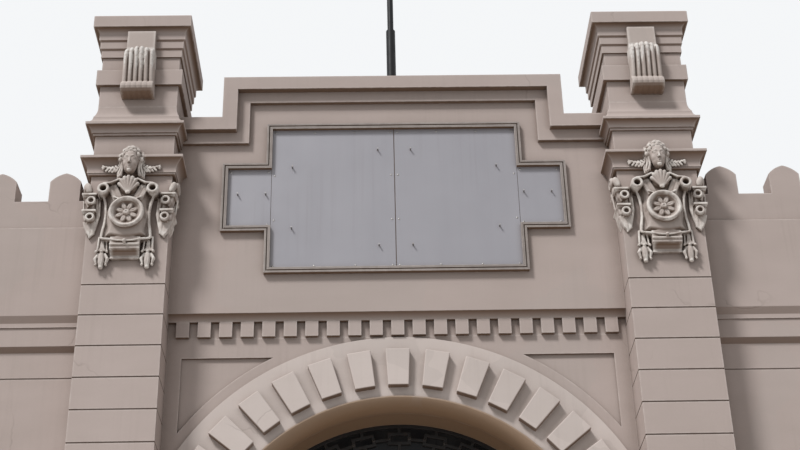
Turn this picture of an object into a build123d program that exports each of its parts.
from build123d import *
import math
import os

# Arched gateway front in rendered masonry: two piers with attic blocks, a wall between
# them with a round arch, paired doors and a fanlight, and a short wing on each side.
# Millimetres. X runs along the front, Y from front to back, Z up from the ground.

# Depths from front to back
pier_depth = 1130
upper_setback = 350
lower_setback = 460
ring_proud = 25
back_setback = 100
reveal_depth = 490
parapet_thickness = 400
wall_top_level = 9900

# Piers
pier_width = 950
plinth_height = 681
plinth_proud = 70
plinth_bevel = 40
course_height = 382
course_count = 20
joint_height = 16
joint_depth = 14
head_height = 1440
capital_height = 569
attic_base_height = 430
attic_block_height = 730
ledge_low = 300
ledge_high = 520
ledge_proud = 48

# Centre wall
upper_bottom = 8035
cove_height = 82
cove_depth = 60
dentil_height = 190
dentil_width = 150
dentil_proud = 50
dentil_count = 21
parapet_high = 11336
parapet_low = 10740
parapet_shoulder = 533
coping_height = 180
coping_front = 150
coping_back = 60
fascia_height = 150
fascia_proud = 60

# Arch, drawn outwards from the opening
opening_radius = 2025
roll_width = 140
block_inset = 47
block_length = 411
ring_border = 277
crown_gap = 20
stilt = 120
rim_width = 22
rim_lip = 16
block_proud = 70
block_pitch = 9.8
block_width_angle = 6.0
block_count = 19
soffit_step = 15
roll_depth = 150
rebate = 45
jamb_width = 590
panel_gap = 130
panel_drop = 245
panel_margin = 170
panel_depth = 30

# Impost, transom and threshold
impost_height = 180
impost_proud = 60
transom_proud = 30
threshold_height = 40
threshold_apron = 255
threshold_bevel = 12

# Fanlight: a running fret of linked cells over a half-round rose, with glass behind
fan_rim = 80
fan_bar = 30
fan_depth = 60
fan_glass = 10
fret_top_gap = 125
fret_row_pitch = 300
fret_rows = 4
fret_cell_width = 228
fret_cell_height = 112
fret_pitch = 408
rose_gap = 150
rose_rays = 9

# Doors
leaf_gap = 6
leaf_edge_gap = 4
leaf_floor_gap = 15
leaf_top_gap = 10
leaf_front_gap = 7
leaf_thickness = 66
stile_width = 170
rail_width = 190
leaf_panel_thickness = 26
leaf_panel_rows = 4
hinge_inset = 5
hinge_standoff = 25
knuckle_radius = 20
pin_radius = 10
pin_clearance = 1
pin_arm_height = 70
pin_arm_width = 24
pin_arm_reach = 150
pin_gap = 8
pin_plate_width = 100
pin_plate_height = 160
strap_length = 620
strap_height = 80
strap_thickness = 12
hinge_end_gap = 400
field_margin = 80
field_proud = 14
field_slope = 30
pull_level = 1250
pull_radius = 70
pull_bar = 22
rose_radius = 48
rose_proud = 14
pull_neck = 30

# Sign
sign_level = 9648
sign_half_height = 1037
sign_side_gap = 22
ear_reach = 525
ear_half_height = 470
sign_rim = 68
sign_proud = 60
sign_groove = 18
sign_groove_depth = 16
sign_bead = 22
sheet_thickness = 12
sheet_gap = 6
stud_radius = 9
stud_length = 45
seam_stud_inset = 200
edge_stud_inset = 315
ear_stud_inset = 190
high_stud_rise = 670
mid_stud_rise = 425
ear_stud_rise = 50

# Wings
wing_length = 1720
wing_lower_setback = 450
frieze_setback = 400
frieze_bottom = 7750
wing_cove = 60
wing_fillet = 55
wing_fillet_proud = 14
wing_line_level = 7370
wing_line_depth = 10
battlement_bottom = 9280
battlement_sill = 9660
battlement_thickness = 300
battlement_step = 25
merlon_width = 370
merlon_height = 275
merlon_peak = 120
merlon_swell = 22
merlon_pitch = 770
merlon_start = 200

# Roof pole
pole_radius = 60
pole_upper_radius = 40
pole_foot_radius = 110
pole_length = 4300
pole_standoff = 150
pole_foot_height = 20
pole_step_share = 0.62
pole_clamp_levels = (10150, 10900)
clamp_height = 70
clamp_wall = 14
clamp_arm = 60
clamp_plate = 240

# Consoles on the attic blocks, measured down or up from the block's top
console_width = 410
console_pad_width = 346
console_pad_proud = 110
console_pad_rise = 330
console_rise = 40
console_drop = 705
console_proud = 155
console_bow = 26
console_ribs = 5
rib_gap = 12
rib_depth = 18
roll_radius = 100

# Small and large rounds that are cut as polygons
carved_sides = 12
ring_sides = 24

# Cartouches, measured down from the capital's foot and out from the pier's centre
shield_top_drop = 190
shield_waist_drop = 540
shield_foot_drop = 890
shield_half_top = 300
shield_half_waist = 238
shield_half_foot = 270
shield_flat_half = 205
shield_edge_proud = 50
shield_proud = 95
ear_across = 285
ear_drop = 275
ear_radius = 72
ear_hole_radius = 36
ear_proud = 155
medallion_drop = 586
medallion_radius = 200
medallion_rim = 28
medallion_proud = 160
medallion_recess = 48
petal_count = 8
petal_radius = 34
petal_sides = 6
petal_ring = 98
boss_radius = 46
knob_drop = 225
knob_radius = 118
knob_proud = 160
knob_slope = 18
apron_width = 318
apron_foot_drop = 1138
apron_proud = 98
apron_foot_proud = 50
drop_across = 265
drop_head_drop = 880
drop_neck_drop = 1030
drop_foot_drop = 1275
drop_width = 150
drop_proud = 60
drop_slope = 12
wing_scroll_radius = 62
wing_scroll_drops = (300, 520)
bracket_top_drop = 200
bracket_foot_drop = 830
bracket_overhang = 22
bracket_proud = 60
bracket_wrap = 240

# Masks on the capitals, measured up from the capital's foot
mask_rise = 85
mask_radius = 102
brow_rise = 165
brow_slope = 14
jaw_drop = 165
jaw_slope = 18
mask_proud = 135
hair_half = 122
hair_low = 160
hair_high = 205
hair_proud = 150
nose_length = 70
nose_width = 34
nose_proud = 22

# Levels and planes worked out from the sizes above
soffit_radius = opening_radius + soffit_step
rear_radius = soffit_radius + rebate
rim_radius = opening_radius + roll_width
block_inner = rim_radius + block_inset
block_outer = block_inner + block_length
ring_outer = block_outer + ring_border
panel_radius = ring_outer + panel_gap
pier_inner_x = soffit_radius + jamb_width
parapet_half = pier_inner_x - parapet_shoulder
ear_half_width = parapet_half - sign_side_gap
sign_half_width = ear_half_width - ear_reach
pier_front = -pier_depth / 2
pier_back = pier_depth / 2
pier_x = pier_inner_x + pier_width / 2
pier_outer_x = pier_inner_x + pier_width
upper_front = pier_front + upper_setback
lower_front = pier_front + lower_setback
ring_front = lower_front - ring_proud
wall_back = pier_back - back_setback
reveal_back = lower_front + reveal_depth
shaft_top = plinth_height + course_count * course_height + head_height
capital_top = shaft_top + capital_height
base_top = capital_top + attic_base_height
block_top = base_top + attic_block_height
dentil_bottom = upper_bottom - dentil_height
panel_top = dentil_bottom - panel_drop
spring_level = dentil_bottom - crown_gap - ring_outer
impost_top = spring_level - stilt
impost_bottom = impost_top - impost_height
wing_end = pier_outer_x + wing_length
reach = 4 * wing_end
sides = (("l", -1), ("r", 1))

# Moulded outlines: overhang, height above the piece's foot, and bulge of the line to here
capital_steps = (
    (0, 0, 0), (30, 0, 0), (38, 24, 6), (48, 24, 0), (48, 46, 0), (128, 196, -26),
    (128, 229, 0), (0, 236, 0), (0, capital_height, 0),
)
attic_base_steps = (
    (0, 0, 0), (26, 0, 0), (26, 28, 0), (44, 28, 0), (94, 118, -16), (112, 118, 0),
    (112, 152, 0), (40, 262, -20), (0, attic_base_height, -12),
)
attic_cap_steps = (
    (0, 0, 0), (22, 0, 0), (22, 105, 0), (40, 125, 0), (40, 225, 0), (58, 245, 0), (58, 330, 0),
    (96, 402, -12), (130, 402, 0), (130, 560, 0), (118, 575, 0), (0, 620, 0),
)
impost_steps = (
    (0, 0, 0), (14, 0, 0), (14, 50, 0), (46, 118, -12), (impost_proud, 118, 0),
    (impost_proud, impost_height, 0),
)


def facing(y):
    """Upright sketch plane at depth y, seen from the front."""
    return Plane.XZ.offset(-y)


def save(piece, name):
    """Label a finished piece and write its file."""
    piece.part.label = name
    export_step(piece.part, f"parts/{name}.step")


def moulded_outline(centre, half, foot, steps):
    """Closed outline whose left and right edges follow the same steps."""
    ends = []
    for side in (-1, 1):
        points = [Vector(centre + side * (half + out), foot + rise) for out, rise, _ in steps]
        for start, end, (_, _, bulge) in zip(points, points[1:], steps[1:]):
            if (end - start).length < 0.01:
                continue
            if bulge == 0:
                Line(start, end)
            else:
                outward = (end - start).rotate(Axis.Z, -90 * side).normalized()
                ThreePointArc(start, (start + end) / 2 + outward * bulge, end)
        ends.append((points[0], points[-1]))
    Line(ends[0][0], ends[1][0])
    Line(ends[0][1], ends[1][1])


def moulded_block(x, y, half_x, half_y, foot, steps):
    """Block with the same mouldings mitred round its four sides."""
    with BuildSketch(Plane.XZ) as front_outline:
        with BuildLine():
            moulded_outline(x, half_x, foot, steps)
        make_face()
    extrude(front_outline.sketch, amount=reach, both=True)
    with BuildSketch(Plane.YZ) as side_outline:
        with BuildLine():
            moulded_outline(y, half_y, foot, steps)
        make_face()
    extrude(side_outline.sketch, amount=reach, both=True, mode=Mode.INTERSECT)


def stilted_arch(radius, mode=Mode.ADD):
    """Half disc on straight legs, drawn on an upright plane."""
    with Locations((0, spring_level)):
        Circle(radius, mode=mode)
        Rectangle(2 * radius, spring_level, align=(Align.CENTER, Align.MAX), mode=mode)


def on_arch(radius, degrees):
    """Point on an upright plane at an angle round the arch's centre."""
    turn = math.radians(degrees)
    return (radius * math.cos(turn), spring_level + radius * math.sin(turn))


def above_impost(half_width):
    """Keep only what stands on the impost, between the piers."""
    with Locations((0, impost_top)):
        Rectangle(2 * half_width, reach, align=(Align.CENTER, Align.MIN), mode=Mode.INTERSECT)


def console_outline(inset, bow, foot):
    """Side outline of a console: roll at the foot, leaning body, rounded shoulder."""
    front = pier_front - console_proud - bow + inset
    shoulder = block_top + console_rise + bow - inset
    roll_y = front - rib_depth + roll_radius
    roll_level = foot + roll_radius
    roll = []
    for degrees in range(90, -61, -30):
        turn = math.radians(degrees)
        roll.append((roll_y - roll_radius * math.cos(turn), roll_level - roll_radius * math.sin(turn)))
    Polyline(
        (pier_front, foot),
        *roll,
        (front, roll[-1][1] + rib_depth),
        (front - rib_depth, shoulder - roll_radius),
        (front, shoulder - roll_radius / 2),
        (front + 3 * rib_depth, shoulder),
        (pier_front, shoulder),
        close=True,
    )


# Threshold: a low slab through the gateway
with BuildPart() as threshold:
    with BuildSketch():
        Rectangle(2 * soffit_radius, pier_depth + 2 * threshold_apron)
    extrude(amount=threshold_height)
    chamfer(threshold.edges().group_by(Axis.Z)[-1].filter_by(Axis.X), threshold_bevel)
save(threshold, "threshold")

# Upper wall: full thickness up to the wall top, then a thinner parapet
with BuildPart() as upper_wall:
    with BuildSketch(facing(wall_back)):
        with Locations((0, upper_bottom)):
            Rectangle(2 * pier_inner_x, wall_top_level - upper_bottom, align=(Align.CENTER, Align.MIN))
    extrude(amount=wall_back - upper_front)
    with BuildSketch(facing(upper_front + parapet_thickness)):
        with Locations((0, wall_top_level)):
            Rectangle(
                2 * pier_inner_x,
                parapet_low - coping_height - wall_top_level,
                align=(Align.CENTER, Align.MIN),
            )
            Rectangle(
                2 * (parapet_half - coping_height),
                parapet_high - coping_height - wall_top_level,
                align=(Align.CENTER, Align.MIN),
            )
    extrude(amount=parapet_thickness)
    with BuildSketch(Plane.YZ):
        with BuildLine():
            Line((upper_front, upper_bottom), (upper_front, upper_bottom + cove_height))
            Line((upper_front, upper_bottom), (upper_front + cove_depth, upper_bottom))
            ThreePointArc(
                (upper_front, upper_bottom + cove_height),
                (upper_front + cove_depth * 0.62, upper_bottom + cove_height * 0.62),
                (upper_front + cove_depth, upper_bottom),
            )
        make_face()
    extrude(amount=pier_inner_x, both=True, mode=Mode.SUBTRACT)
save(upper_wall, "upper_wall")


def parapet_band(inset, height):
    """Stepped band that follows the parapet's top edge, inset from it."""
    for shrink, mode in ((inset, Mode.ADD), (inset + height, Mode.SUBTRACT)):
        with Locations((0, wall_top_level)):
            Rectangle(
                2 * pier_inner_x,
                parapet_low - shrink - wall_top_level,
                align=(Align.CENTER, Align.MIN),
                mode=mode,
            )
            Rectangle(
                2 * (parapet_half - shrink),
                parapet_high - shrink - wall_top_level,
                align=(Align.CENTER, Align.MIN),
                mode=mode,
            )


# Coping: a thick stepped slab over the parapet with a second band under its front
with BuildPart() as parapet_coping:
    with BuildSketch(facing(upper_front + parapet_thickness + coping_back)):
        parapet_band(0, coping_height)
    extrude(amount=coping_front + parapet_thickness + coping_back)
    with BuildSketch(facing(upper_front)):
        parapet_band(coping_height, fascia_height)
    extrude(amount=fascia_proud)
save(parapet_coping, "parapet_coping")

# Dentil course under the upper wall
dentil_gap = (2 * pier_inner_x - dentil_count * dentil_width) / (dentil_count + 1)
with BuildPart() as dentil_course:
    with BuildSketch(facing(wall_back)):
        with Locations((0, dentil_bottom)):
            Rectangle(2 * pier_inner_x, dentil_height, align=(Align.CENTER, Align.MIN))
    extrude(amount=wall_back - lower_front)
    with BuildSketch(facing(lower_front)):
        with Locations((0, dentil_bottom + dentil_height / 2)):
            with GridLocations(dentil_width + dentil_gap, 1, dentil_count, 1):
                Rectangle(dentil_width, dentil_height)
    extrude(amount=dentil_proud)
save(dentil_course, "dentil_course")

# Spandrel walls each side of the arch ring, with a sunk curved-triangle panel
for name, side in sides:
    with BuildPart() as spandrel:
        with BuildSketch(facing(wall_back)):
            with Locations((side * pier_inner_x / 2, impost_top)):
                Rectangle(pier_inner_x, dentil_bottom - impost_top, align=(Align.CENTER, Align.MIN))
            stilted_arch(ring_outer, mode=Mode.SUBTRACT)
        extrude(amount=wall_back - lower_front)
        with BuildSketch(facing(lower_front + panel_depth)):
            with Locations((side * (pier_inner_x - panel_margin) / 2, impost_top)):
                Rectangle(
                    pier_inner_x - panel_margin,
                    panel_top - impost_top,
                    align=(Align.CENTER, Align.MIN),
                )
            stilted_arch(panel_radius, mode=Mode.SUBTRACT)
        extrude(amount=panel_depth, mode=Mode.SUBTRACT)
    save(spandrel, f"spandrel_{name}")

# Arch ring with raised voussoir blocks
with BuildPart() as arch_ring:
    with BuildSketch(facing(wall_back)):
        stilted_arch(ring_outer)
        stilted_arch(rim_radius, mode=Mode.SUBTRACT)
        above_impost(pier_inner_x)
    extrude(amount=wall_back - ring_front)
    with BuildSketch(facing(ring_front)):
        for index in range(block_count):
            middle = 90 + block_pitch * (index - (block_count - 1) / 2)
            low_side = middle - block_width_angle / 2
            high_side = middle + block_width_angle / 2
            with BuildLine():
                Polyline(
                    on_arch(block_inner, low_side),
                    on_arch(block_outer, low_side),
                    on_arch(block_outer, high_side),
                    on_arch(block_inner, high_side),
                    close=True,
                )
            make_face()
        above_impost(pier_inner_x)
    extrude(amount=block_proud)
save(arch_ring, "arch_ring")

# Inner roll: rounded archivolt, soffit and rear rebate, revolved over the opening
with BuildPart() as arch_roll:
    with BuildSketch(Plane.XY.offset(spring_level)) as roll_profile:
        with BuildLine():
            roll_back = ring_front + roll_depth
            Polyline(
                (rim_radius - rim_lip, ring_front - rim_width),
                (rim_radius, ring_front - rim_width),
                (rim_radius, wall_back),
                (rear_radius, wall_back),
                (rear_radius, reveal_back),
                (soffit_radius, reveal_back),
                (soffit_radius, roll_back + soffit_step),
                (opening_radius, roll_back + soffit_step),
                (opening_radius, roll_back),
            )
            ThreePointArc(
                (opening_radius, roll_back),
                (opening_radius + roll_width * 0.3, ring_front + roll_depth * 0.26),
                (rim_radius - rim_lip, ring_front - rim_width),
            )
        make_face()
    revolve(axis=Axis((0, 0, spring_level), (0, 1, 0)), revolution_arc=-180)
    extrude(roll_profile.sketch, amount=-stilt)
    mirror(about=Plane.YZ)
save(arch_roll, "arch_roll")

# Jambs, stepped back at the foot where the pier plinths stand out
for name, side in sides:
    with BuildPart() as jamb:
        with BuildSketch(facing(wall_back)):
            with Locations((side * soffit_radius, 0)):
                Rectangle(
                    pier_inner_x - plinth_proud - soffit_radius,
                    plinth_height,
                    align=(Align.MIN if side > 0 else Align.MAX, Align.MIN),
                )
            with Locations((side * soffit_radius, plinth_height)):
                Rectangle(
                    pier_inner_x - soffit_radius,
                    impost_bottom - plinth_height,
                    align=(Align.MIN if side > 0 else Align.MAX, Align.MIN),
                )
        extrude(amount=wall_back - ring_front)
        with BuildSketch(facing(wall_back)):
            with Locations((side * soffit_radius, 0)):
                Rectangle(2 * rebate, impost_bottom, align=(Align.CENTER, Align.MIN))
        extrude(amount=wall_back - reveal_back, mode=Mode.SUBTRACT)
        joints = [plinth_height + course_height * step for step in range(1, course_count)]
        for level in [z for z in joints if z < impost_bottom - course_height / 2]:
            with BuildSketch(facing(ring_front + joint_depth)):
                with Locations((side * soffit_radius, level)):
                    Rectangle(reach, joint_height)
                with Locations((side * (pier_inner_x + reach / 2), level)):
                    Rectangle(reach, joint_height, mode=Mode.SUBTRACT)
            extrude(amount=joint_depth, mode=Mode.SUBTRACT)
    save(jamb, f"jamb_{name}")

# Imposts: moulded blocks that carry the ends of the ring
for name, side in sides:
    with BuildPart() as impost:
        jamb_half = (pier_inner_x - soffit_radius) / 2
        moulded_block(
            side * (soffit_radius + jamb_half),
            (ring_front + wall_back) / 2,
            jamb_half,
            (wall_back - ring_front) / 2,
            impost_bottom,
            impost_steps,
        )
        with BuildSketch(Plane.XY.offset(impost_bottom)):
            with Locations((side * pier_inner_x, 0)):
                Rectangle(2 * (pier_inner_x - rear_radius), 2 * wall_back)
            with Locations((side * pier_inner_x, reveal_back)):
                Rectangle(2 * pier_inner_x, reach, align=(Align.CENTER, Align.MAX))
            outward = Align.MIN if side > 0 else Align.MAX
            with Locations((side * pier_inner_x, 0)):
                Rectangle(reach, reach, align=(outward, Align.CENTER), mode=Mode.SUBTRACT)
        extrude(amount=impost_height, mode=Mode.INTERSECT)
    save(impost, f"impost_{name}")

# Transom beam across the rear of the opening
with BuildPart() as transom:
    with BuildSketch(facing(wall_back)):
        with Locations((0, impost_bottom)):
            Rectangle(2 * rear_radius, impost_height, align=(Align.CENTER, Align.MIN))
    extrude(amount=wall_back - reveal_back)
    with BuildSketch(facing(reveal_back)):
        with Locations((0, impost_top - impost_height / 2)):
            Rectangle(2 * (soffit_radius - impost_proud), impost_height / 2)
    extrude(amount=transom_proud)
save(transom, "transom")

# Fanlight: iron frame on the transom and the bars inside it
fan_back = (reveal_back + wall_back + fan_depth) / 2
fan_clear = rear_radius - fan_rim
with BuildPart() as fanlight_frame:
    with BuildSketch(facing(fan_back)):
        stilted_arch(rear_radius)
        stilted_arch(fan_clear, mode=Mode.SUBTRACT)
        with Locations((0, impost_top)):
            Rectangle(2 * rear_radius, fan_rim, align=(Align.CENTER, Align.MIN))
        above_impost(rear_radius)
    extrude(amount=fan_depth)
save(fanlight_frame, "fanlight_frame")

with BuildPart() as fanlight_bars:
    with BuildSketch(facing(fan_back - fan_depth / 4)):
        for row in range(fret_rows):
            cell_radius = fan_clear - fret_top_gap - row * fret_row_pitch
            half_count = int(math.radians(90) * cell_radius / fret_pitch)
            turn = math.degrees(fret_pitch / cell_radius)
            first = 90 - (half_count + 0.5 * (row % 2)) * turn
            count = 2 * half_count + 1 + row % 2
            half_turn = math.radians(turn / 2)
            with Locations((0, spring_level)):
                link_place = cell_radius * math.cos(half_turn)
                with PolarLocations(link_place, count + 1, first - turn / 2, turn * count, endpoint=True):
                    Rectangle(fan_bar, 2 * cell_radius * math.sin(half_turn))
                with PolarLocations(cell_radius, count, first, turn * (count - 1), endpoint=True):
                    Rectangle(fret_cell_height + fan_bar, fret_cell_width + fan_bar)
                with PolarLocations(cell_radius, count, first, turn * (count - 1), endpoint=True):
                    Rectangle(fret_cell_height - fan_bar, fret_cell_width - fan_bar, mode=Mode.SUBTRACT)
                link_length = fret_row_pitch - fret_cell_height / 2
                link_radius = cell_radius - fret_cell_height / 2 - link_length / 2
                with PolarLocations(link_radius, count, first, turn * (count - 1), endpoint=True):
                    Rectangle(link_length, fan_bar)
        rose_radius_out = cell_radius - fret_row_pitch
        with Locations((0, spring_level)):
            Circle(rose_radius_out + fan_bar)
            Circle(rose_radius_out, mode=Mode.SUBTRACT)
            with PolarLocations(rose_radius_out / 2, 2 * rose_rays):
                Rectangle(rose_radius_out, fan_bar)
            Circle(rose_gap)
        outer_radius = fan_clear - fret_top_gap + fret_cell_height / 2
        outer_count = int(math.radians(90) * outer_radius / fret_pitch)
        outer_turn = math.degrees(fret_pitch / (fan_clear - fret_top_gap))
        outer_link = fan_clear - outer_radius
        with Locations((0, spring_level)):
            with PolarLocations(
                fan_clear - outer_link / 2,
                2 * outer_count + 1,
                90 - outer_count * outer_turn,
                2 * outer_count * outer_turn,
                endpoint=True,
            ):
                Rectangle(outer_link + fan_bar, fan_bar)
            Circle(fan_clear, mode=Mode.INTERSECT)
        with Locations((0, impost_top + fan_rim)):
            Rectangle(2 * fan_clear, reach, align=(Align.CENTER, Align.MIN), mode=Mode.INTERSECT)
    extrude(amount=fan_depth / 2)
save(fanlight_bars, "fanlight_bars")

with BuildPart() as fanlight_glass:
    with BuildSketch(facing(fan_back - fan_depth / 4 + fan_glass)):
        stilted_arch(fan_clear)
        above_impost(fan_clear)
        with Locations((0, impost_top)):
            Rectangle(2 * fan_clear, fan_rim, align=(Align.CENTER, Align.MIN), mode=Mode.SUBTRACT)
    extrude(amount=fan_glass)
save(fanlight_glass, "fanlight_glass")

# Doors: framed leaves that swing inwards on straps over fixed pins
hinge_x = rear_radius - hinge_inset
hinge_y = wall_back + hinge_standoff
leaf_outer = hinge_x - leaf_edge_gap
leaf_width = leaf_outer - leaf_gap
leaf_low = threshold_height + leaf_floor_gap
leaf_high = impost_bottom - leaf_top_gap
leaf_height = leaf_high - leaf_low
leaf_front = reveal_back + leaf_front_gap
leaf_back = leaf_front + leaf_thickness
leaf_mid_x = (leaf_gap + leaf_outer) / 2
light_height = (leaf_height - (leaf_panel_rows + 1) * rail_width) / leaf_panel_rows
light_width = (leaf_width - 3 * stile_width) / 2
hinge_levels = (leaf_low + hinge_end_gap, leaf_low + leaf_height / 2, leaf_high - hinge_end_gap)
for name, side in sides:
    with BuildPart() as door_frame:
        with BuildSketch(facing(leaf_back)):
            with Locations((side * leaf_mid_x, leaf_low + leaf_height / 2)):
                Rectangle(leaf_width, leaf_height)
                with GridLocations(
                    light_width + stile_width, light_height + rail_width, 2, leaf_panel_rows
                ):
                    Rectangle(light_width, light_height, mode=Mode.SUBTRACT)
        extrude(amount=leaf_thickness)
    save(door_frame, f"door_frame_{name}")

    with BuildPart() as door_panels:
        with BuildSketch(facing((leaf_front + leaf_back + leaf_panel_thickness) / 2)):
            with Locations((side * leaf_mid_x, leaf_low + leaf_height / 2)):
                with GridLocations(
                    light_width + stile_width, light_height + rail_width, 2, leaf_panel_rows
                ):
                    Rectangle(light_width, light_height)
        extrude(amount=leaf_panel_thickness)
        with BuildSketch(facing((leaf_front + leaf_back - leaf_panel_thickness) / 2)):
            with Locations((side * leaf_mid_x, leaf_low + leaf_height / 2)):
                with GridLocations(
                    light_width + stile_width, light_height + rail_width, 2, leaf_panel_rows
                ):
                    Rectangle(light_width - 2 * field_margin, light_height - 2 * field_margin)
        extrude(amount=field_proud, taper=field_slope)
    save(door_panels, f"door_panels_{name}")

    with BuildPart() as door_straps:
        for level in hinge_levels:
            with BuildSketch(Plane.XY.offset(level - strap_height / 2)):
                with Locations((side * (hinge_x - strap_length / 2), leaf_back + strap_thickness / 2)):
                    Rectangle(strap_length, strap_thickness)
                with Locations((side * (hinge_x - knuckle_radius / 2), leaf_back)):
                    Rectangle(knuckle_radius, hinge_y - leaf_back, align=(Align.CENTER, Align.MIN))
                with Locations((side * hinge_x, hinge_y)):
                    RegularPolygon(knuckle_radius, carved_sides)
                    Circle(pin_radius + pin_clearance, mode=Mode.SUBTRACT)
            extrude(amount=strap_height)
    save(door_straps, f"door_straps_{name}")

    with BuildPart() as hinge_pins:
        arm_back = hinge_y - pin_arm_width / 2
        for level in hinge_levels:
            foot = level - strap_height / 2 - pin_gap
            with BuildSketch(Plane.XY.offset(foot - pin_arm_height)):
                with Locations((side * hinge_x, hinge_y)):
                    RegularPolygon(knuckle_radius, carved_sides)
                    outward = Align.MIN if side > 0 else Align.MAX
                    Rectangle(pin_arm_reach, pin_arm_width, align=(outward, Align.CENTER))
            extrude(amount=pin_arm_height)
            with BuildSketch(Plane.XY.offset(foot)):
                with Locations((side * hinge_x, hinge_y)):
                    Circle(pin_radius)
            extrude(amount=strap_height + pin_gap)
            with BuildSketch(facing(arm_back)):
                plate_x = hinge_x + pin_arm_reach - pin_plate_width / 2 + knuckle_radius / 2
                with Locations((side * plate_x, foot - pin_arm_height / 2)):
                    Rectangle(pin_plate_width, pin_plate_height)
            extrude(amount=arm_back - wall_back)
    save(hinge_pins, f"hinge_pins_{name}")

    with BuildPart() as door_pull:
        pull_x = side * (leaf_gap + stile_width / 2)
        with BuildSketch(facing(leaf_front)):
            with Locations((pull_x, pull_level)):
                RegularPolygon(rose_radius, ring_sides)
        extrude(amount=rose_proud)
        with BuildSketch(facing(leaf_front - rose_proud)):
            with Locations((pull_x, pull_level)):
                Rectangle(pull_neck, pull_neck)
        extrude(amount=pull_bar)
        with BuildSketch(facing(leaf_front - rose_proud)):
            with Locations((pull_x, pull_level + pull_neck / 2 - pull_radius)):
                RegularPolygon(pull_radius, ring_sides)
                RegularPolygon(pull_radius - pull_bar, ring_sides, mode=Mode.SUBTRACT)
        extrude(amount=pull_bar)
    save(door_pull, f"door_pull_{name}")


def sign_shape(shrink, mode=Mode.ADD):
    """Plaque outline with an ear on each side, inset by shrink."""
    with Locations((0, sign_level)):
        Rectangle(2 * (sign_half_width - shrink), 2 * (sign_half_height - shrink), mode=mode)
        Rectangle(2 * (ear_half_width - shrink), 2 * (ear_half_height - shrink), mode=mode)


# Sign frame: bead, groove and inner bead
with BuildPart() as sign_frame:
    with BuildSketch(facing(upper_front)):
        sign_shape(0)
        sign_shape(sign_rim, mode=Mode.SUBTRACT)
    extrude(amount=sign_proud)
    with BuildSketch(facing(upper_front - sign_proud + sign_groove_depth)):
        sign_shape(sign_bead)
        sign_shape(sign_bead + sign_groove, mode=Mode.SUBTRACT)
    extrude(amount=sign_groove_depth, mode=Mode.SUBTRACT)
save(sign_frame, "sign_frame")

# Sign sheets: two over the middle and one in each ear, all blank
middle_half = sign_half_width - sign_rim
ear_sheet_width = ear_half_width - sign_half_width
for name, side in sides:
    with BuildPart() as sheet:
        with BuildSketch(facing(upper_front)):
            with Locations((side * (middle_half + sheet_gap) / 2, sign_level)):
                Rectangle(middle_half - sheet_gap, 2 * (sign_half_height - sign_rim))
        extrude(amount=sheet_thickness)
    save(sheet, f"sign_sheet_{name}")

    with BuildPart() as ear_sheet:
        with BuildSketch(facing(upper_front)):
            with Locations((side * (middle_half + (ear_sheet_width + sheet_gap) / 2), sign_level)):
                Rectangle(ear_sheet_width - sheet_gap, 2 * (ear_half_height - sign_rim))
        extrude(amount=sheet_thickness)
    save(ear_sheet, f"sign_ear_{name}")

# Studs that stand out of the sheets: x and height from the middle of the sign
stud_places = (
    (seam_stud_inset, high_stud_rise), (sign_half_width - edge_stud_inset, mid_stud_rise),
    (seam_stud_inset, -high_stud_rise), (sign_half_width - edge_stud_inset, -mid_stud_rise),
    (sign_half_width, ear_stud_rise), (ear_half_width - ear_stud_inset, ear_stud_rise),
)
with BuildPart() as sign_studs:
    with BuildSketch(facing(upper_front - sheet_thickness)):
        for across, rise in stud_places:
            for side in (-1, 1):
                with Locations((side * across, sign_level + rise)):
                    Circle(stud_radius)
    extrude(amount=stud_length)
save(sign_studs, "sign_studs")

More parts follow.
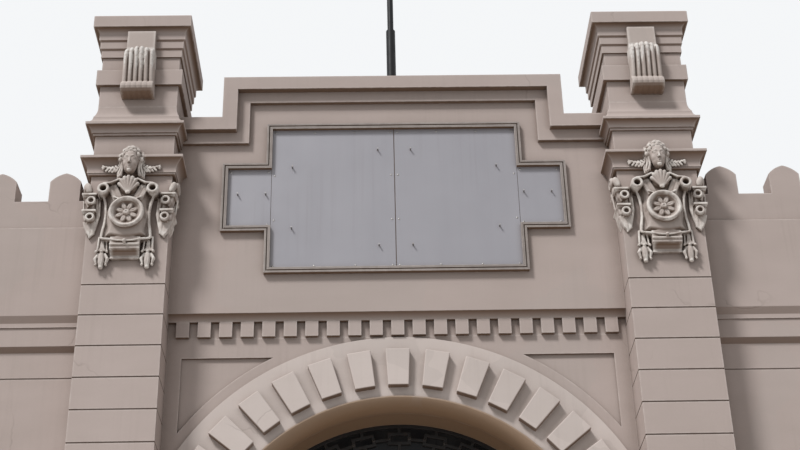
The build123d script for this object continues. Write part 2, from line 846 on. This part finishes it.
# Piers, built up from the ground
for name, side in sides:
    with BuildPart() as plinth:
        with BuildSketch():
            with Locations((side * pier_x, 0)):
                Rectangle(pier_width + 2 * plinth_proud, pier_depth + 2 * plinth_proud)
        extrude(amount=plinth_height)
        chamfer(plinth.edges().group_by(Axis.Z)[-1], plinth_bevel)
    save(plinth, f"pier_plinth_{name}")

    with BuildPart() as shaft:
        with BuildSketch(Plane.XY.offset(plinth_height)):
            with Locations((side * pier_x, 0)):
                Rectangle(pier_width, pier_depth)
        extrude(amount=shaft_top - plinth_height)
        for step in range(1, course_count + 1):
            level = plinth_height + step * course_height
            with BuildSketch(Plane.XY.offset(level - joint_height / 2)):
                with Locations((side * pier_x, 0)):
                    Rectangle(pier_width, pier_depth)
                    Rectangle(
                        pier_width - 2 * joint_depth, pier_depth - 2 * joint_depth, mode=Mode.SUBTRACT
                    )
            extrude(amount=joint_height, mode=Mode.SUBTRACT)
    save(shaft, f"pier_shaft_{name}")

    with BuildPart() as capital:
        moulded_block(side * pier_x, 0, pier_width / 2, pier_depth / 2, shaft_top, capital_steps)
        add(upper_wall.part, mode=Mode.SUBTRACT)
    save(capital, f"pier_capital_{name}")

    with BuildPart() as attic_base:
        moulded_block(
            side * pier_x, 0, pier_width / 2, pier_depth / 2, capital_top, attic_base_steps
        )
        add(upper_wall.part, mode=Mode.SUBTRACT)
        add(parapet_coping.part, mode=Mode.SUBTRACT)
    save(attic_base, f"attic_base_{name}")

    with BuildPart() as attic_block:
        with BuildSketch(Plane.XY.offset(base_top)):
            with Locations((side * pier_x, 0)):
                Rectangle(pier_width, pier_depth)
        extrude(amount=attic_block_height)
        with BuildSketch(Plane.XY.offset(base_top + ledge_low)):
            with Locations((side * pier_x, 0)):
                Rectangle(pier_width + 2 * ledge_proud, pier_depth + 2 * ledge_proud)
        extrude(amount=ledge_high - ledge_low)
    save(attic_block, f"attic_block_{name}")

    with BuildPart() as attic_cap:
        moulded_block(side * pier_x, 0, pier_width / 2, pier_depth / 2, block_top, attic_cap_steps)
    save(attic_cap, f"attic_cap_{name}")

    with BuildPart() as console:
        rib_pitch = console_width / console_ribs
        console_foot = block_top - console_drop
        with BuildSketch(Plane.YZ.offset(side * pier_x)):
            with BuildLine():
                console_outline(rib_depth, 0, console_foot)
            make_face()
        extrude(amount=(console_width - rib_gap) / 2, both=True)
        for rib in range(console_ribs):
            across = 2 * rib / (console_ribs - 1) - 1
            rib_x = side * pier_x + across * (console_width - rib_pitch) / 2
            with BuildSketch(Plane.YZ.offset(rib_x)):
                with BuildLine():
                    console_outline(0, console_bow * (1 - across * across), console_foot)
                make_face()
            extrude(amount=(rib_pitch - rib_gap) / 2, both=True)
        with BuildSketch(facing(pier_front)):
            with Locations((side * pier_x, block_top + console_rise)):
                Rectangle(console_pad_width, 2 * (console_pad_rise - console_rise))
            with Locations((side * pier_x, block_top)):
                Rectangle(console_width, 2 * reach, align=(Align.CENTER, Align.MAX), mode=Mode.SUBTRACT)
        extrude(amount=console_pad_proud)
        add(attic_block.part, mode=Mode.SUBTRACT)
        add(attic_cap.part, mode=Mode.SUBTRACT)
    save(console, f"console_{name}")

    with BuildPart() as cartouche:
        centre = side * pier_x
        shield_foot = shaft_top - shield_foot_drop
        with BuildSketch(Plane.XY.offset(shaft_top - shield_top_drop)):
            with BuildLine():
                Polyline(
                    (centre - shield_half_top, pier_front),
                    (centre - shield_half_top, pier_front - shield_edge_proud),
                    (centre - shield_flat_half, pier_front - shield_proud),
                    (centre + shield_flat_half, pier_front - shield_proud),
                    (centre + shield_half_top, pier_front - shield_edge_proud),
                    (centre + shield_half_top, pier_front),
                    close=True,
                )
            make_face()
        extrude(amount=shield_top_drop - shield_foot_drop)
        with BuildSketch(facing(pier_front)):
            with BuildLine():
                top = shaft_top - shield_top_drop
                waist = shaft_top - shield_waist_drop
                Polyline(
                    (centre - shield_half_foot, shield_foot),
                    (centre - shield_half_waist, waist),
                    (centre - shield_half_top, top),
                    (centre + shield_half_top, top),
                    (centre + shield_half_waist, waist),
                    (centre + shield_half_foot, shield_foot),
                    close=True,
                )
            make_face()
        extrude(amount=reach, mode=Mode.INTERSECT)
        with BuildSketch(facing(pier_front)):
            with Locations((centre, shaft_top - medallion_drop)):
                RegularPolygon(medallion_radius, ring_sides)
        extrude(amount=medallion_proud)
        with BuildSketch(facing(pier_front - medallion_proud + medallion_recess)):
            with Locations((centre, shaft_top - medallion_drop)):
                RegularPolygon(medallion_radius - medallion_rim, ring_sides)
                with PolarLocations(petal_ring, petal_count):
                    RegularPolygon(petal_radius, petal_sides, mode=Mode.SUBTRACT)
                RegularPolygon(boss_radius, carved_sides, mode=Mode.SUBTRACT)
        extrude(amount=medallion_recess, mode=Mode.SUBTRACT)
        with BuildSketch(facing(pier_front)):
            ear_level = shaft_top - ear_drop
            with Locations((centre - ear_across, ear_level), (centre + ear_across, ear_level)):
                RegularPolygon(ear_radius, carved_sides)
        extrude(amount=ear_proud)
        with BuildSketch(facing(pier_front - ear_proud / 2)):
            with Locations((centre - ear_across, ear_level), (centre + ear_across, ear_level)):
                RegularPolygon(ear_hole_radius, carved_sides)
        extrude(amount=ear_proud, mode=Mode.SUBTRACT)
        with BuildSketch(facing(pier_front)):
            with Locations((centre, shaft_top - knob_drop)):
                RegularPolygon(knob_radius, carved_sides)
        extrude(amount=knob_proud, taper=knob_slope)
        with BuildSketch(Plane.YZ.offset(centre)):
            with BuildLine():
                apron_foot = shaft_top - apron_foot_drop
                Line((pier_front, shield_foot), (pier_front - apron_proud, shield_foot))
                ThreePointArc(
                    (pier_front - apron_proud, shield_foot),
                    (pier_front - apron_foot_proud, (shield_foot + apron_foot) / 2),
                    (pier_front - apron_foot_proud, apron_foot),
                )
                Line((pier_front - apron_foot_proud, apron_foot), (pier_front, apron_foot))
                Line((pier_front, apron_foot), (pier_front, shield_foot))
            make_face()
        extrude(amount=apron_width / 2, both=True)
        for offset in (-drop_across, drop_across):
            with BuildSketch(facing(pier_front)):
                with BuildLine():
                    middle = centre + offset
                    neck = shaft_top - drop_neck_drop
                    foot = shaft_top - drop_foot_drop
                    Polyline(
                        (middle - drop_width / 3, shaft_top - drop_head_drop),
                        (middle - drop_width / 4, neck),
                        (middle - drop_width / 2, (2 * neck + foot) / 3),
                        (middle - drop_width / 3, (neck + 2 * foot) / 3),
                        (middle, foot),
                        (middle + drop_width / 3, (neck + 2 * foot) / 3),
                        (middle + drop_width / 2, (2 * neck + foot) / 3),
                        (middle + drop_width / 4, neck),
                        (middle + drop_width / 3, shaft_top - drop_head_drop),
                        close=True,
                    )
                make_face()
            extrude(amount=drop_proud, taper=drop_slope)
        for edge in (-1, 1):
            edge_x = centre + edge * pier_width / 2
            with BuildSketch(facing(pier_front + bracket_wrap)):
                with BuildLine():
                    Polyline(
                        (edge_x - edge * bracket_overhang, shaft_top - bracket_top_drop),
                        (edge_x + edge * bracket_overhang, shaft_top - bracket_top_drop),
                        (edge_x + edge * bracket_overhang, shaft_top - wing_scroll_drops[1]),
                        (edge_x, shaft_top - bracket_foot_drop),
                        (edge_x - edge * bracket_overhang, shaft_top - wing_scroll_drops[1]),
                        close=True,
                    )
                make_face()
                with Locations(*[(edge_x, shaft_top - drop) for drop in wing_scroll_drops]):
                    RegularPolygon(wing_scroll_radius, carved_sides)
            extrude(amount=bracket_wrap + bracket_proud)
        with BuildSketch():
            with Locations((centre, 0)):
                Rectangle(pier_width, pier_depth)
        extrude(amount=reach, mode=Mode.SUBTRACT)
    save(cartouche, f"cartouche_{name}")

    with BuildPart() as mask:
        mask_level = shaft_top + mask_rise
        with BuildSketch(facing(pier_front)):
            with BuildLine():
                Polyline(
                    (centre - hair_half, mask_level - hair_low * 0.6),
                    (centre - hair_half, mask_level + hair_high * 0.5),
                    (centre - hair_half * 0.55, mask_level + hair_high),
                    (centre + hair_half * 0.55, mask_level + hair_high),
                    (centre + hair_half, mask_level + hair_high * 0.5),
                    (centre + hair_half, mask_level - hair_low * 0.6),
                    (centre + hair_half * 0.5, mask_level - hair_low),
                    (centre - hair_half * 0.5, mask_level - hair_low),
                    close=True,
                )
            make_face()
        extrude(amount=hair_proud)
        mask_y = pier_front - mask_proud
        for rise, slope in ((brow_rise, brow_slope), (-jaw_drop, jaw_slope)):
            with BuildSketch(Plane.XY.offset(mask_level)):
                with Locations((centre, mask_y)):
                    RegularPolygon(mask_radius, carved_sides)
            extrude(amount=rise, taper=slope)
        with BuildSketch(Plane.YZ.offset(centre)):
            with BuildLine():
                Polyline(
                    (mask_y, mask_level + nose_length / 2),
                    (mask_y - mask_radius, mask_level + nose_length / 2),
                    (mask_y - mask_radius - nose_proud, mask_level - nose_length / 2),
                    (mask_y, mask_level - nose_length / 2),
                    close=True,
                )
            make_face()
        extrude(amount=nose_width / 2, both=True)
        with BuildSketch():
            with Locations((centre, 0)):
                Rectangle(pier_width, pier_depth)
        extrude(amount=reach, mode=Mode.SUBTRACT)
        add(capital.part, mode=Mode.SUBTRACT)
    save(mask, f"mask_{name}")

# Wings: a cut-short length of the side walls, with battlements
for name, side in sides:
    with BuildPart() as wing:
        with BuildSketch(Plane.YZ.offset(side * pier_outer_x)):
            wing_front = pier_front + wing_lower_setback
            frieze_front = pier_front + frieze_setback
            with BuildLine():
                Polyline(
                    (wall_back, 0),
                    (wing_front - plinth_proud, 0),
                    (wing_front - plinth_proud, plinth_height - plinth_bevel),
                    (wing_front, plinth_height),
                    (wing_front, frieze_bottom - wing_cove),
                    (frieze_front, frieze_bottom),
                    (frieze_front, upper_bottom - wing_fillet),
                    (frieze_front - wing_fillet_proud, upper_bottom - wing_fillet),
                    (frieze_front - wing_fillet_proud, upper_bottom),
                    (upper_front, upper_bottom + cove_height),
                    (upper_front, battlement_bottom),
                    (wall_back, battlement_bottom),
                    close=True,
                )
            make_face()
        extrude(amount=side * wing_length)
        with BuildSketch():
            with Locations((side * pier_x, 0)):
                Rectangle(pier_width + 2 * plinth_proud, pier_depth + 2 * plinth_proud)
        extrude(amount=plinth_height, mode=Mode.SUBTRACT)
        with BuildSketch(facing(wing_front + wing_line_depth)):
            with Locations((side * (pier_outer_x + wing_end) / 2, wing_line_level)):
                Rectangle(wing_length, joint_height)
        extrude(amount=wing_line_depth, mode=Mode.SUBTRACT)
    save(wing, f"wing_wall_{name}")

    with BuildPart() as battlement:
        battlement_front = upper_front + battlement_step
        with BuildSketch(facing(battlement_front + battlement_thickness)):
            sill_height = battlement_sill - battlement_bottom
            with Locations((side * (pier_outer_x + wing_length / 2), battlement_bottom)):
                Rectangle(wing_length, sill_height, align=(Align.CENTER, Align.MIN))
            merlon_x = merlon_start
            while merlon_x + merlon_width <= wing_length:
                left = pier_outer_x + merlon_x
                middle = left + merlon_width / 2
                right = left + merlon_width
                shoulder = battlement_sill + merlon_height
                swell = shoulder + merlon_peak / 2 + merlon_swell
                with BuildLine():
                    Polyline(
                        (side * left, shoulder),
                        (side * left, battlement_sill),
                        (side * right, battlement_sill),
                        (side * right, shoulder),
                    )
                    for start in (left, right):
                        ThreePointArc(
                            (side * start, shoulder),
                            (side * (start + middle) / 2, swell),
                            (side * middle, shoulder + merlon_peak),
                        )
                make_face()
                merlon_x += merlon_pitch
        extrude(amount=battlement_thickness)
    save(battlement, f"battlement_{name}")

# Roof pole on the wall top behind the parapet, clamped to it
pole_y = upper_front + parapet_thickness + pole_standoff
pole_step_level = wall_top_level + pole_length * pole_step_share
with BuildPart() as flagpole:
    with BuildSketch(Plane.YZ):
        with BuildLine():
            Polyline(
                (pole_y, wall_top_level),
                (pole_y + pole_foot_radius, wall_top_level),
                (pole_y + pole_foot_radius, wall_top_level + pole_foot_height),
                (pole_y + pole_radius, wall_top_level + pole_foot_height),
                (pole_y + pole_radius, pole_step_level),
                (pole_y + pole_upper_radius, pole_step_level),
                (pole_y + pole_upper_radius, wall_top_level + pole_length),
                (pole_y, wall_top_level + pole_length),
                close=True,
            )
        make_face()
    revolve(axis=Axis((0, pole_y, 0), (0, 0, 1)))
save(flagpole, "flagpole")

with BuildPart() as pole_clamps:
    for level in pole_clamp_levels:
        with BuildSketch(Plane.XY.offset(level)):
            with Locations((0, pole_y)):
                RegularPolygon(pole_radius + clamp_wall, ring_sides)
            with Locations((0, upper_front + parapet_thickness)):
                Rectangle(clamp_arm, pole_standoff, align=(Align.CENTER, Align.MIN))
                Rectangle(clamp_plate, clamp_wall, align=(Align.CENTER, Align.MIN))
        extrude(amount=clamp_height)
    add(flagpole.part, mode=Mode.SUBTRACT)
save(pole_clamps, "pole_clamps")
